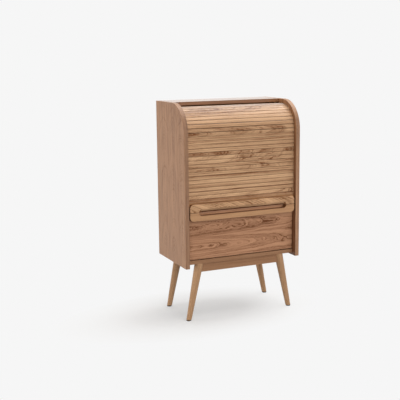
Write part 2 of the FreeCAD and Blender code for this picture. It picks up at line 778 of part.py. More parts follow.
def base():
    """Legs with their glides, the two aprons and what holds them to the bottom panel."""
    foot = leg_axis_point(0)
    pad_radius = foot_radius - glide_inset
    pad = rod(pad_radius, glide_height, foot, Vector(0, 0, 1))
    pad = rounded(pad, glide_ease, foot - Vector(pad_radius, pad_radius, 0),
                  foot + Vector(pad_radius, pad_radius, 0))
    stem_start = foot + Vector(0, 0, glide_height)
    stem = rod(glide_stem_radius, glide_stem_length, stem_start, Vector(0, 0, 1))
    stem_bore = rod(glide_stem_radius + bore_clearance, glide_stem_length + bore_clearance,
                    stem_start, Vector(0, 0, 1))
    save("leg_glides", four_corners([pad.fuse(stem).removeSplitter()]))

    down = Vector(0, 0, -1)
    screws = [screw(leg_screw_length, start, down) for start in leg_screw_starts()]
    screw_bores = [screw_bore(leg_screw_length, start, down) for start in leg_screw_starts()]
    save("leg_screws", screws)

    apron_z = bottom_z - apron_height
    head = leg_axis_point(bottom_z)
    apron_y0 = head.y - apron_thickness / 2
    apron = eased_board(-head.x, head.x, apron_y0, apron_y0 + apron_thickness,
                        apron_z, bottom_z, ["-z"])
    grown = leg_solid(fit_clearance)
    apron = apron.cut([grown, mirrored(grown)])
    dowels = []
    bores = []
    for z in spread(apron_z, bottom_z, apron_dowel_rise_shares):
        centre = leg_axis_point(z)
        reach = leg_top_radius + dowel_length / 2
        start = Vector(centre.x - reach, head.y, z)
        dowels.append(rod(dowel_radius, dowel_length, start, Vector(1, 0, 0)))
        bore_start = start - Vector(bore_clearance, 0, 0)
        bores.append(rod(dowel_radius + bore_clearance, dowel_length + 2 * bore_clearance,
                         bore_start, Vector(1, 0, 0)))
    save("apron_dowels", four_corners(dowels))
    all_bores = four_corners(bores)
    front_apron = cut_all(apron, all_bores)
    save("apron_front", [front_apron])
    save("apron_back", [front_apron.mirror(Vector(), Vector(0, 1, 0))])

    leg = leg_solid(0).cut(stem_bore)
    corners = {
        "leg_front_right": leg,
        "leg_front_left": mirrored(leg),
        "leg_back_right": leg.mirror(Vector(), Vector(0, 1, 0)),
        "leg_back_left": mirrored(leg).mirror(Vector(), Vector(0, 1, 0)),
    }
    for name, solid in corners.items():
        save(name, [cut_all(solid, all_bores + screw_bores)])

    block_y = apron_y0 + apron_thickness
    section = Part.Face(Part.Wire([
        line((block_y, bottom_z), (block_y + block_size, bottom_z)),
        line((block_y + block_size, bottom_z), (block_y, bottom_z - block_size)),
        line((block_y, bottom_z - block_size), (block_y, bottom_z)),
    ]))
    blocks = []
    for share in block_place_shares:
        middle = head.x * share
        block = extruded(section, middle - block_length / 2, middle + block_length / 2)
        blocks += [block, block.mirror(Vector(), Vector(0, 1, 0))]
    save("apron_blocks", blocks)


def main():
    os.makedirs("parts", exist_ok=True)
    carcass()
    shutter()
    drawer()
    runners()
    base()


main()
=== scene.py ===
import math

import bmesh
import bpy
from mathutils import Matrix, Vector


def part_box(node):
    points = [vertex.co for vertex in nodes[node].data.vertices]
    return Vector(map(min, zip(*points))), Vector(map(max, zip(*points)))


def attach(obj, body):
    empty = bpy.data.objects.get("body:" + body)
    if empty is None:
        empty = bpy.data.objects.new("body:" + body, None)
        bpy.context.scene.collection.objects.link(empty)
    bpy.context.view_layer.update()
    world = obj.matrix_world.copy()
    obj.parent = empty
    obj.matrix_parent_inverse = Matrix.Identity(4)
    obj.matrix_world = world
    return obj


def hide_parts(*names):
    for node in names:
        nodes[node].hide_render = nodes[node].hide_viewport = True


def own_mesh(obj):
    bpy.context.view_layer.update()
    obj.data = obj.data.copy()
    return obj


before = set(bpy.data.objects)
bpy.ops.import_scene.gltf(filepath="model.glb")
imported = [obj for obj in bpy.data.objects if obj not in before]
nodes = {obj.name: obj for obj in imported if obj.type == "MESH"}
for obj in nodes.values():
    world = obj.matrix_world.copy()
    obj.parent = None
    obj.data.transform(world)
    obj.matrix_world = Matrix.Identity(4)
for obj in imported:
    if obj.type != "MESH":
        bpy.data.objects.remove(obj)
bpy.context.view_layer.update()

# The looks of a roll-front binder cabinet, in metres. +X is to the right, -Y is the front.

# Places read from the frame
side_low, side_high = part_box("side_right")
rail_low, rail_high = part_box("lead_rail")
front_low, front_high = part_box("front_slats")
canvas_low, canvas_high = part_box("front_canvas")
leg_foot, leg_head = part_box("leg_front_right")
fixed_back_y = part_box("fixed_slats")[1].y
handle_front_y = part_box("shutter_handle")[0].y
drawer_top_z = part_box("drawer_front")[1].z
seam_z = (rail_low.z + drawer_top_z) / 2

# Shutter sizes: corner, pitch, gap and canvas thickness are the frame's, the rest is finer shape
corner_radius = 0.150
slat_pitch = 0.0194
slat_gap = 0.0015
slat_round = 0.0010
slat_back_round = 0.0003
slat_round_steps = 4
slat_lengths = 8
canvas_thickness = 0.0008
canvas_stops = 8
glue_line = 0.0001
canvas_dip = 0.00035

slat_thickness = front_high.y - front_low.y
slat_half = (slat_pitch - slat_gap) / 2
slat_reach = front_high.x
front_slat_count = round((front_high.z - front_low.z + slat_gap) / slat_pitch)
shutter_back_y = front_high.y
bend_y = side_low.y + corner_radius
bend_z = side_high.z - corner_radius
bend_radius = bend_y - shutter_back_y
to_bend = bend_z - rail_high.z
to_top = to_bend + bend_radius * math.pi / 2
run_end_y = fixed_back_y + slat_gap / 2
fixed_slat_count = round((to_top + run_end_y - bend_y) / slat_pitch) - front_slat_count

# Screws and cams
screw_radius = 0.002
screw_core_share = 0.72
screw_head_radius = 0.004
screw_head_rim = 0.0002
screw_head_height = 0.0024
screw_neck_share = 0.3
screw_thread_pitch = 0.0012
screw_flank_share = 0.35
screw_tip_length = 3 * screw_radius
screw_turns = 24
cross_arm = 0.0019
cross_half = 0.00045
cross_depth = 0.0013
cross_taper_share = 0.75
cam_turns = 32
cam_chamfer = 0.0005
cam_dish_share = 0.78
cam_dish_depth = 0.0006
cam_cross_scale = 1.7
cam_cross_depth_scale = 2

# Points of a mesh are one when they agree to this part of a metre, and an edge is smooth up to
# this angle
same_point_scale = 1e5
smooth_angle = math.radians(35)

# Wood colours, as linear values
slat_pale = (0.64, 0.390, 0.218)
slat_dark = (0.165, 0.054, 0.014)
side_pale = (0.466, 0.237, 0.114)
side_dark = (0.160, 0.064, 0.025)
top_pale = (0.50, 0.290, 0.165)
top_dark = (0.20, 0.085, 0.036)
drawer_pale = (0.515, 0.268, 0.149)
drawer_dark = (0.145, 0.048, 0.016)
handle_pale = (0.56, 0.315, 0.163)
upper_handle_pale = (0.70, 0.420, 0.230)
handle_dark = (0.19, 0.076, 0.026)
rail_pale = (0.74, 0.385, 0.165)
# The rail's dark colour is also that of the painted shade at its joint with the drawer
rail_dark_and_seam_shade = (0.070, 0.018, 0.005)
leg_pale = (0.52, 0.310, 0.170)
leg_dark = (0.23, 0.102, 0.042)
apron_pale = (0.38, 0.200, 0.105)
apron_dark = (0.17, 0.068, 0.026)
birch_pale = (0.60, 0.46, 0.31)
birch_dark = (0.45, 0.31, 0.18)
pore_brown = (0.085, 0.034, 0.013)
# Painted sheen: a pale grey laid over the side panels' edges where a sheen would whiten them
painted_sheen_grey = (0.40, 0.45, 0.46)

# Veneer leaves, and where the hearts of the handle's and the lead rail's wood lie
side_leaf = 0.115
side_leaf_start = 0.0225
drawer_leaf = 0.101
drawer_leaf_start = 0.3335
back_leaf = 0.16
lower_heart_z = 0.42
handle_heart_z = 0.548
handle_heart_depth = 0.20

# Noises in the figure of wood: how fine along the grain and across it, per metre, and its layers
sway_noise = (3.5, 8.0, 1.0)
swell_noise = (14.0, 28.0, 1.0)
fuzz_noise = (50.0, 700.0, 2.0)
jag_noise = (45.0, 260.0, 2.0)
patch_noise = (9.0, 45.0, 2.0)
fibre_noise = (14.0, 480.0, 3.0)
streak_noise = (2.6, 130.0, 2.0)
cloud_noise = (2.3, 9.0, 1.0)
pore_noise = (120.0, 1500.0, 1.0)
fibre_roughness = 0.6

# Noises that follow the growth rings: how fine per ring, and where they are read
uneven_per_ring = 0.3
uneven_place = 0.5
group_per_ring = 0.36
group_place = 0.2

# Seeds that keep boards and noises apart
plain_seed = 0.5
seed_step = 3.7
swell_seed = 1.3
group_seed = 5.1
edge_seed = 5.0
back_leg_seed = 3.0

# How strongly each noise acts. The ring curve goes from place in the ring to darkness, and each
# other curve from a low and a high value of its noise to the factors there
noise_middle = 0.5
sway_reach = 2
swell_reach = 4
uneven_rings = 2.2
fuzz_rings = 0.4
ring_curve = [(0.0, 0.08), (0.1, 1.0), (0.3, 0.75), (0.62, 0.12), (1.0, 0.08)]
ring_weight_least = 0.3
ring_weight_spread = 0.8
patch_curve = (0.35, 0.65, 0.35, 1.25)
group_curve = (0.3, 0.7, 0.4, 1.5)
pore_curve = (0.58, 0.68)
pore_in_ring_share = 0.75
ring_share = 0.75
group_share = 0.9
fibre_share = 0.5
streak_share = 0.55
cloud_share = 0.5
tone_share = 0.22
palest_share = -0.3
darkest_share = 1.0

# Surface of wood
ring_roughness = 0.12
ring_relief = -0.3
fibre_relief = 0.35
pore_relief = -1.0
wood_relief = 0.00012
wood_gloss = 1.3
lacquer_roughness = 0.22
haze_roughness = 0.35

# Tones of single faces and places: above zero is paler and below it darker, and 1 is about a
# sixth of the way between pale and dark
left_edge_tone = -1.5
right_edge_tone = -0.3
edge_seam_tone = -1.4
edge_band_seam = 0.0012
# Share of painted sheen laid over the side panels' edges
edge_painted_sheen_share = 0.07
# Painted light and shade along the side panels' edges as they turn over the bend: painted shade from its
# start, a painted highlight towards its top, and more painted light on the right one
bend_painted_shade_tone = -1.0
bend_painted_shade_turn = (0.0, 0.3)
bend_painted_highlight_tone = 2.2
bend_painted_highlight_turn = (0.4, 1.3)
right_bend_painted_light_tone = 1.5
right_bend_painted_light_turn = (0.3, 0.8)
# Painted shade on the side panels' inner faces, deepest low down
inner_low_painted_shade_tone = -3.6
inner_high_painted_shade_tone = -1.8
inner_painted_shade_z = (0.40, 0.95)
side_grain_shift = 0.004
# Front edges of the top and bottom boards: a darker edge band, deepened by painted shade
top_edge_band_and_shade_tone = -3.6
bottom_edge_band_and_shade_tone = -1.8
# Painted shade on the bottom board's upper face, in the gap under the drawer
bottom_top_painted_shade_tone = -3.0
# Painted shade on the handles' faces that do not face the front, and on the slot's end walls
handle_edge_painted_shade_tone = -3.0
# Painted shade on the end walls of the handles' slot
slot_end_painted_shade_tone = -5.0
# Painted shade and light on the roof of the slot, darker at its left
slot_roof_painted_shade_tone = -0.6
slot_roof_painted_light_tone = 1.4
slot_roof_painted_light_x = (-0.22, 0.10)
# Painted shade at the foot of the slot and painted light on its floor
slot_foot_painted_shade_tone = -2.2
slot_floor_painted_light_tone = 1.9
# Painted light on the drawer front where it is seen through the slot
slot_back_painted_light_tone = 2.6
slot_back_painted_light_z = (0.53, 0.545)
# Painted light on the drawer front towards its top, under the handle
drawer_top_painted_light_tone = 1.5
drawer_top_painted_light_z = (0.45, 0.52)
# Painted shade at the joint between shutter and drawer, and how far it reaches from the joint
seam_painted_shade_tone = -8.0
seam_painted_shade_reach = 0.0032

# Where the handle's slot lies, and how far a face has to be turned to count as one of a kind
slot_half_width = 0.247
slot_half_height = 0.0175
slot_floor_half_height = 0.0115
handle_face_skin = 0.0003
flat_facing = 0.6
end_facing = 0.3

# Canvas, metal and plastic, with colours as linear values
canvas_pale = (0.27, 0.175, 0.105)
canvas_dark = (0.13, 0.076, 0.040)
canvas_thread_pitch = 0.0011
canvas_slub = 300.0
canvas_slub_share = 0.6
canvas_roughness = 0.9
canvas_relief = 0.0002
steel_grey = (0.56, 0.55, 0.52)
zinc_grey = (0.50, 0.50, 0.51)
metal_dim_share = 0.82
metal_speck_scale = 14
metal_roughness_spread = 0.18
metal_relief = 0.00002
glide_black = (0.018, 0.017, 0.016)
rubber_grey = (0.42, 0.41, 0.39)
plastic_dim_share = 0.8
plastic_speck = 2600.0
plastic_cloud = 60.0
plastic_roughness_spread = 0.15
plastic_relief = 0.00003

# CAD nodes with a finish of their own
node_finish = {
    "apron_front": "apron_wood",
    "apron_back": "apron_wood",
    "shutter_handle": "upper_handle_wood",
    "lead_rail": "rail_wood",
    "bottom_panel": "bottom_wood",
}

# The boards that the slats are cut from, bottom slat first: how many slats, how far the board's
# heart lies above its middle, how pale it is (-1 dark and red, 1 pale), how wild its figure, how
# much deeper its heart lies than in the others, and how far along the board its middle is
slat_boards = [
    (1, 0.090, -0.5, 0.2, 0.0, 0.0),
    (1, 0.040, 1.0, 1.5, 0.050, 0.10),
    (4, 0.110, 0.5, 0.0, 0.0, 0.0),
    (2, -0.085, 0.1, 0.1, 0.0, 0.0),
    (2, -0.012, -0.5, 0.8, 0.0, 0.0),
    (2, 0.030, 0.2, 0.8, 0.060, 0.30),
    (1, 0.002, -0.9, 1.0, -0.005, 0.05),
    (4, 0.105, 0.1, 0.1, 0.0, 0.0),
    (2, -0.004, -0.3, 1.0, -0.026, 0.26),
    (2, 0.100, 0.2, 0.1, 0.0, 0.0),
    (4, 0.030, 0.4, 0.8, 0.0, 0.0),
    (3, 0.012, 0.6, 0.8, 0.060, -0.10),
    (1, 0.080, 1.2, 0.2, 0.0, 0.0),
    (2, 0.080, 0.4, 0.2, 0.0, 0.0),
]

# The upper slats of the bend are lacquered, up to the first that reaches under the top panel
first_lacquered_slat = 20
first_covered_slat = 28

# Studio: light from above, from the front and from the left behind, each with its name, its
# direction, the level to which it lights a facing white surface, its spread, and whether gloss
# shows it
background = 0.922
sky_level = 0.26
lamps = [
    ("key", (0.36, 0.10, 1.0), 0.68, math.radians(60), True),
    ("front", (0.02, -0.97, 0.16), 0.855, math.radians(92), False),
    ("left", (-0.97, 0.22, 0.10), 0.60, math.radians(40), False),
]

# Floor: how much it reflects, the share of that which lights the object, its tint, and how much
# of the backdrop's grey it glows with under the object as painted light that thins its shadow,
# which rises to all of it across an oval
floor_reach = 60.0
floor_squares = 8
floor_albedo = 0.79
floor_bounce_share = 0.40
floor_tint = (1.0, 0.985, 0.965)
floor_glow_share = 0.42
floor_oval = (1.0, 1.8, 1.0)
floor_oval_centre = (-0.22, -0.02, 0.0)
floor_oval_reach = (0.30, 0.74)

# Camera, fitted to the photograph
camera_lens = 72.17
camera_sensor = 36.0
camera_aim = Vector((0, 0, 0.45476))
camera_distance = 4.24
camera_turn = math.radians(-23.75)
camera_rise = math.radians(10.39)
camera_roll = math.radians(-0.67)
camera_slide = (0.1489, -0.12157)


class Graph:
    """Adds and links the nodes of one shader tree."""

    def __init__(self, tree):
        self.tree = tree
        tree.nodes.clear()

    def add(self, kind, **settings):
        node = self.tree.nodes.new(kind)
        for name, value in settings.items():
            setattr(node, name, value)
        return node

    def feed(self, socket, value):
        if isinstance(value, bpy.types.NodeSocket):
            self.tree.links.new(value, socket)
        elif value is not None:
            socket.default_value = value

    def math(self, operation, a, b=None, c=None):
        node = self.add("ShaderNodeMath", operation=operation)
        for socket, value in zip(node.inputs, (a, b, c)):
            self.feed(socket, value)
        return node.outputs[0]

    def join(self, x, y, z):
        node = self.add("ShaderNodeCombineXYZ")
        for socket, value in zip(node.inputs, (x, y, z)):
            self.feed(socket, value)
        return node.outputs[0]

    def split(self, vector):
        node = self.add("ShaderNodeSeparateXYZ")
        self.feed(node.inputs[0], vector)
        return node.outputs

    def combine(self, operation, a, b, output):
        """One operation on two vectors."""
        node = self.add("ShaderNodeVectorMath", operation=operation)
        self.feed(node.inputs[0], a)
        self.feed(node.inputs[1], b)
        return node.outputs[output]

    def noise(self, vector, detail=2.0, roughness=0.5, scale=1.0):
        node = self.add("ShaderNodeTexNoise")
        self.feed(node.inputs["Vector"], vector)
        node.inputs["Scale"].default_value = scale
        node.inputs["Detail"].default_value = detail
        node.inputs["Roughness"].default_value = roughness
        return node.outputs["Fac"]

    def swing(self, noise, amount, base):
        """A value that a noise swings to both sides of its base."""
        return self.math("MULTIPLY_ADD", self.math("SUBTRACT", noise, noise_middle), amount, base)

    def chance(self, value):
        node = self.add("ShaderNodeTexWhiteNoise", noise_dimensions="1D")
        self.feed(node.inputs["W"], value)
        return node.outputs["Value"]

    def ramp(self, value, stops):
        """A curve through (place, height) stops."""
        node = self.add("ShaderNodeValToRGB")
        self.feed(node.inputs[0], value)
        ramp = node.color_ramp
        while len(ramp.elements) < len(stops):
            ramp.elements.new(0.0)
        for element, (place, height) in zip(ramp.elements, stops):
            element.position = place
            element.color = (height, height, height, 1)
        return node.outputs[0]

    def remap(self, value, low, high, to_low=0.0, to_high=1.0):
        node = self.add("ShaderNodeMapRange", clamp=True)
        for socket, item in zip(node.inputs, (value, low, high, to_low, to_high)):
            self.feed(socket, item)
        return node.outputs[0]

    def blend(self, share, a, b):
        """Colour a with a share of colour b; a colour mix has its colours at sockets 6 and 7."""
        node = self.add("ShaderNodeMix", data_type="RGBA")
        self.feed(node.inputs["Factor"], share)
        for socket, value in ((node.inputs[6], a), (node.inputs[7], b)):
            self.feed(socket, (*value, 1) if isinstance(value, tuple) else value)
        return node.outputs[2]

    def finish(self, colour, roughness, height, depth, metallic=0.0, lacquer=0.0):
        """The surface: colour, roughness, a bump of that depth in metres, and clear lacquer."""
        shader = self.add("ShaderNodeBsdfPrincipled")
        bump = self.add("ShaderNodeBump")
        bump.inputs["Distance"].default_value = depth
        bump.inputs["Strength"].default_value = 1.0
        self.feed(bump.inputs["Height"], height)
        self.feed(shader.inputs["Base Color"], colour)
        self.feed(shader.inputs["Roughness"], roughness)
        self.feed(shader.inputs["Normal"], bump.outputs[0])
        shader.inputs["Metallic"].default_value = metallic
        shader.inputs["Coat Weight"].default_value = lacquer
        shader.inputs["Coat Roughness"].default_value = lacquer_roughness
        out = self.add("ShaderNodeOutputMaterial")
        self.tree.links.new(shader.outputs[0], out.inputs["Surface"])
        return shader


def new_material(name):
    material = bpy.data.materials.new(name)
    material.use_nodes = True
    return material, Graph(material.node_tree)


def coordinates(g):
    """Where the point is in the frame: the CAD nodes and new pieces have their origins there."""
    return g.add("ShaderNodeTexCoord").outputs["Object"]


def object_place(g):
    return g.split(coordinates(g))


def facing(g):
    """Which way the surface faces, as three numbers."""
    return g.split(g.add("ShaderNodeTexCoord").outputs["Normal"])


def attribute(g, name, output):
    return g.add("ShaderNodeAttribute", attribute_name=name).outputs[output]


def grain_along_x(g):
    """Boards and leaves whose grain runs from side to side."""
    x, y, z = object_place(g)
    return {"along": x, "across": z, "into": 0.0, "seed": g.math("SIGN", y)}


def grain_along_z(g):
    """Upright boards and leaves."""
    x, y, z = object_place(g)
    return {"along": z, "across": x, "into": 0.0}


def grain_of_boards(g):
    """Flat boards between the sides, with a darker band along their front edge deepened by painted shade,
    and painted shade on the bottom board's upper face.
    """
    x, y, z = object_place(g)
    toward = facing(g)
    is_edge = g.math("LESS_THAN", toward[1], -flat_facing)
    is_low = g.math("LESS_THAN", z, rail_low.z)
    # Darker edge band, deepened by painted shade
    edge_band_and_shade_tone = g.math("MULTIPLY_ADD", is_low, bottom_edge_band_and_shade_tone - top_edge_band_and_shade_tone, top_edge_band_and_shade_tone)
    # Painted shade on the bottom board's upper face
    is_painted_shade_top = g.math("MULTIPLY", is_low, g.math("GREATER_THAN", toward[2], flat_facing))
    tone = g.math("MULTIPLY_ADD", is_painted_shade_top, bottom_top_painted_shade_tone, g.math("MULTIPLY", is_edge, edge_band_and_shade_tone))
    return {"along": x, "across": g.math("ADD", y, z), "into": 0.0, "tone": tone}


def grain_of_handles(g):
    """Grain from side to side on a pale face, painted shade on the edges round it, and painted light and
    shade in the slot.
    """
    x, y, z = object_place(g)
    toward = facing(g)
    is_edge = g.math("GREATER_THAN", toward[1], -flat_facing)
    outward = g.math("MULTIPLY", toward[0], g.math("SIGN", x))
    is_slot_end = g.math("LESS_THAN", outward, -end_facing)
    # Painted shade on the faces that do not face the front, deepest on the slot's end walls
    tone = g.math("MULTIPLY_ADD", is_slot_end, slot_end_painted_shade_tone, g.math("MULTIPLY", is_edge, handle_edge_painted_shade_tone))
    into = g.math("SUBTRACT", y, handle_front_y)
    below = g.math("SUBTRACT", seam_z, z)
    is_near = g.math("LESS_THAN", g.math("ABSOLUTE", below), slot_half_height)
    is_lower = g.math("MULTIPLY", g.math("GREATER_THAN", below, 0.0),
                      g.math("LESS_THAN", below, slot_half_height))
    is_inside = g.math("MULTIPLY", g.math("LESS_THAN", g.math("ABSOLUTE", x), slot_half_width),
                       g.math("GREATER_THAN", into, handle_face_skin))
    # Painted shade at the slot's lower edge, painted light on its floor, and the roof's painted light and
    # shade
    slot_floor_painted_tone = g.remap(below, slot_half_height, slot_floor_half_height,
                         slot_foot_painted_shade_tone, slot_floor_painted_light_tone)
    # Painted shade on the slot's roof at its left, painted light towards its right
    roof_painted_tone = g.remap(x, *slot_roof_painted_light_x, slot_roof_painted_shade_tone, slot_roof_painted_light_tone)
    slot_painted_tone = g.math("ADD", g.math("MULTIPLY", is_lower, slot_floor_painted_tone),
                       g.math("MULTIPLY", g.math("LESS_THAN", below, 0.0), roof_painted_tone))
    tone = g.math("MULTIPLY_ADD", g.math("MULTIPLY", is_near, is_inside), slot_painted_tone, tone)
    return {"along": x, "across": z, "into": into, "tone": tone}


def seam_shading(g, z):
    """Painted shade at the joint between shutter and drawer, seen through the slot."""
    distance = g.math("ABSOLUTE", g.math("SUBTRACT", z, seam_z))
    return g.math("MULTIPLY", g.math("LESS_THAN", distance, seam_painted_shade_reach), seam_painted_shade_tone)


def grain_of_rail(g):
    """Grain from side to side, with painted shade at the joint with the drawer."""
    x, y, z = object_place(g)
    return {"along": x, "across": z, "into": 0.0, "tone": seam_shading(g, z)}


def grain_of_drawer(g):
    """Leaves of veneer, with painted light towards the top and behind the slot, and painted shade at the
    joint with the shutter.
    """
    x, y, z = object_place(g)
    # Painted light towards the top
    paler = g.remap(z, *drawer_top_painted_light_z, 0.0, drawer_top_painted_light_tone)
    # Painted light on the drawer front behind the slot
    paler = g.math("ADD", paler, g.remap(z, *slot_back_painted_light_z, 0.0, slot_back_painted_light_tone))
    return {"along": x, "across": z, "into": 0.0, "seed": g.math("SIGN", y),
            "tone": g.math("ADD", paler, seam_shading(g, z))}


def grain_of_slats(g):
    """Grain, board and tone that each slat carries in its mesh."""
    along, across, into = g.split(attribute(g, "grain", "Vector"))
    return {"along": along, "across": across, "into": into, "seed": attribute(g, "board", "Fac"),
            "tone": attribute(g, "tone", "Fac"), "figure": attribute(g, "figure", "Fac")}


def grain_of_sides(g):
    """Upright grain on the faces, painted shade on the inner faces, and a darker band whose grain follows
    the outline on the edges, with painted light, shade and sheen on it.
    """
    x, y, z = object_place(g)
    is_right = g.math("GREATER_THAN", x, 0.0)
    outward = g.math("MULTIPLY", facing(g)[0], g.math("SIGN", x))
    is_edge = g.math("LESS_THAN", g.math("ABSOLUTE", outward), flat_facing)
    is_inner = g.math("LESS_THAN", outward, -flat_facing)
    is_face = g.math("SUBTRACT", 1.0, is_edge)

    angle = g.math("ARCTAN2", g.math("SUBTRACT", z, bend_z), g.math("SUBTRACT", bend_y, y))
    turned = g.math("MINIMUM", g.math("MAXIMUM", angle, 0.0), math.pi / 2)
    up = g.math("MINIMUM", g.math("SUBTRACT", z, bend_z), 0.0)
    back = g.math("MAXIMUM", g.math("SUBTRACT", y, bend_y), 0.0)
    rim = g.math("ADD", g.math("ADD", g.math("MULTIPLY", turned, corner_radius), up), back)
    along = g.math("ADD", g.math("MULTIPLY", is_edge, rim), g.math("MULTIPLY", is_face, z))
    across = g.math("ADD", g.math("MULTIPLY", is_edge, x), g.math("MULTIPLY", is_face, y))

    is_seam = g.math("GREATER_THAN", g.math("ABSOLUTE", x), side_high.x - edge_band_seam)
    tone = g.math("MULTIPLY_ADD", is_right, right_edge_tone - left_edge_tone, left_edge_tone)
    tone = g.math("MULTIPLY_ADD", is_seam, edge_seam_tone, tone)
    # Painted shade from the start of the bend, a painted highlight towards its top, painted light on the
    # right one
    tone = g.math("ADD", tone, g.remap(angle, *bend_painted_shade_turn, 0.0, bend_painted_shade_tone))
    tone = g.math("ADD", tone, g.remap(angle, *bend_painted_highlight_turn, 0.0, bend_painted_highlight_tone))
    tone = g.math("MULTIPLY_ADD", is_right, g.remap(angle, *right_bend_painted_light_turn, 0.0, right_bend_painted_light_tone), tone)
    # Painted shade on the inner faces, darker towards the bottom
    inner_painted_shade = g.remap(z, *inner_painted_shade_z, inner_low_painted_shade_tone, inner_high_painted_shade_tone)
    return {"along": along, "across": across,
            "into": g.math("MULTIPLY", g.math("SIGN", x), side_grain_shift),
            "seed": g.math("ADD", g.math("SIGN", x), g.math("MULTIPLY", is_edge, edge_seed)),
            "tone": g.math("MULTIPLY_ADD", is_inner, inner_painted_shade, g.math("MULTIPLY", is_edge, tone)),
            "painted_sheen": g.math("MULTIPLY", is_edge, edge_painted_sheen_share)}


def grain_of_legs(g):
    """Grain along each leaning leg, from its foot to its head."""
    x, y, z = object_place(g)
    lean = math.atan2((leg_head.x - leg_foot.x) / 2, leg_head.z - leg_foot.z)
    outward = g.math("ABSOLUTE", x)
    along = g.math("SUBTRACT", g.math("MULTIPLY", z, math.cos(lean)),
                   g.math("MULTIPLY", outward, math.sin(lean)))
    across = g.math("ADD", g.math("MULTIPLY", outward, math.cos(lean)),
                    g.math("MULTIPLY", z, math.sin(lean)))
    return {"along": along, "across": across, "into": g.math("ABSOLUTE", y),
            "seed": g.math("ADD", g.math("SIGN", x), g.math("MULTIPLY", g.math("SIGN", y), back_leg_seed))}


def wood(name, grain, pale, dark, ring=0.0028, slope=0.10, wave=0.0016, wander=0.004, depth=0.033,
         heart=0.0, leaf=0.0, leaf_start=0.0, lines=1.0, streaks=1.0, clouds=1.0, jags=0.6, pores=0.4,
         roughness=0.4, lacquer=0.0, haze=0.0):
    """Open-pored wood. Ring is the spacing of its growth lines, heart and depth say where the
    centre of the tree lies, slope how it leans along the board, wave and wander how wild the
    figure is, and leaf how wide a leaf of veneer is, each with its own figure about its middle.
    Lines, streaks, clouds, jags and pores say how strong each is, and haze how soft a sheen."""
    material, g = new_material(name)
    place = grain(g)
    u, v, w = place["along"], g.math("SUBTRACT", place["across"], heart), place["into"]
    seed = place.get("seed", plain_seed)
    if leaf:
        v = g.math("SUBTRACT", v, leaf_start)
        number = g.math("FLOOR", g.math("DIVIDE", v, leaf))
        v = g.math("SUBTRACT", g.math("SUBTRACT", v, g.math("MULTIPLY", number, leaf)), leaf / 2)
        seed = g.math("ADD", seed, number)
    seed = g.math("MULTIPLY", seed, seed_step)

    def figure_noise(kind, across, third, **settings):
        fine_along, fine_across, layers = kind
        spread = g.join(g.math("MULTIPLY", u, fine_along), g.math("MULTIPLY", across, fine_across), third)
        return g.noise(spread, detail=layers, **settings)

    def ring_noise(per_ring, second, third):
        return g.noise(g.join(g.math("MULTIPLY", radius, per_ring / ring), second, third), detail=1.0)

    def inside(kind):
        """The seed, shifted by how deep the point lies in the board."""
        return g.math("MULTIPLY_ADD", w, kind[1], seed)

    # Distance from the wandering heart of the tree
    swayed = g.swing(figure_noise(sway_noise, v, seed), wander * sway_reach, v)
    swell = figure_noise(swell_noise, swayed, g.math("ADD", seed, swell_seed))
    swell = g.swing(swell, wave * swell_reach, g.math("MULTIPLY", u, slope))
    deep = g.math("ADD", g.math("MULTIPLY_ADD", swell, place.get("figure", 1.0), depth), w)
    radius = g.math("SQRT", g.math("ADD", g.math("MULTIPLY", swayed, swayed),
                                   g.math("MULTIPLY", deep, deep)))

    # Growth rings, uneven in width and strength
    uneven = ring_noise(uneven_per_ring, seed, uneven_place)
    phase = g.math("MULTIPLY_ADD", uneven, uneven_rings, g.math("DIVIDE", radius, ring))
    phase = g.swing(figure_noise(fuzz_noise, v, seed), fuzz_rings, phase)
    phase = g.swing(figure_noise(jag_noise, v, seed), jags, phase)
    weight = g.math("MULTIPLY_ADD", g.chance(g.math("FLOOR", phase)), ring_weight_spread, ring_weight_least)
    band = g.math("MULTIPLY", g.ramp(g.math("FRACT", phase), ring_curve), weight)
    band = g.math("MULTIPLY", band, g.remap(figure_noise(patch_noise, v, seed), *patch_curve))
    dash = figure_noise(pore_noise, v, g.math("MULTIPLY", w, pore_noise[1]))
    in_ring = g.math("MULTIPLY_ADD", band, pore_in_ring_share, 1 - pore_in_ring_share)
    pore = g.math("MULTIPLY", g.remap(dash, *pore_curve), in_ring)
    group = ring_noise(group_per_ring, g.math("ADD", seed, group_seed), group_place)
    band = g.math("MULTIPLY", band, g.remap(group, *group_curve))

    # Share of the way from the pale colour to the dark one
    fibre = figure_noise(fibre_noise, v, inside(fibre_noise), roughness=fibre_roughness)
    share = g.swing(group, group_share * lines, g.math("MULTIPLY", band, ring_share * lines))
    share = g.swing(fibre, fibre_share * streaks, share)
    share = g.swing(figure_noise(streak_noise, v, seed), streak_share * streaks, share)
    share = g.swing(figure_noise(cloud_noise, v, inside(cloud_noise)), cloud_share * clouds, share)
    if "tone" in place:
        share = g.math("MULTIPLY_ADD", place["tone"], -tone_share, share)
    colour = g.blend(g.remap(share, palest_share, darkest_share), pale, dark)
    # Painted sheen: a share of pale grey laid over the colour
    if "painted_sheen" in place:
        colour = g.blend(place["painted_sheen"], colour, painted_sheen_grey)
    colour = g.blend(g.math("MULTIPLY", pore, pores), colour, pore_brown)

    rough = g.math("MULTIPLY_ADD", band, ring_roughness, roughness)
    relief = g.math("MULTIPLY_ADD", fibre, fibre_relief, g.math("MULTIPLY", pore, pore_relief))
    relief = g.math("MULTIPLY_ADD", band, ring_relief, relief)
    shader = g.finish(colour, rough, relief, wood_relief, lacquer=lacquer)
    shader.inputs["IOR"].default_value = wood_gloss
    shader.inputs["Coat IOR"].default_value = wood_gloss
    shader.inputs["Sheen Weight"].default_value = haze
    shader.inputs["Sheen Roughness"].default_value = haze_roughness
    return material


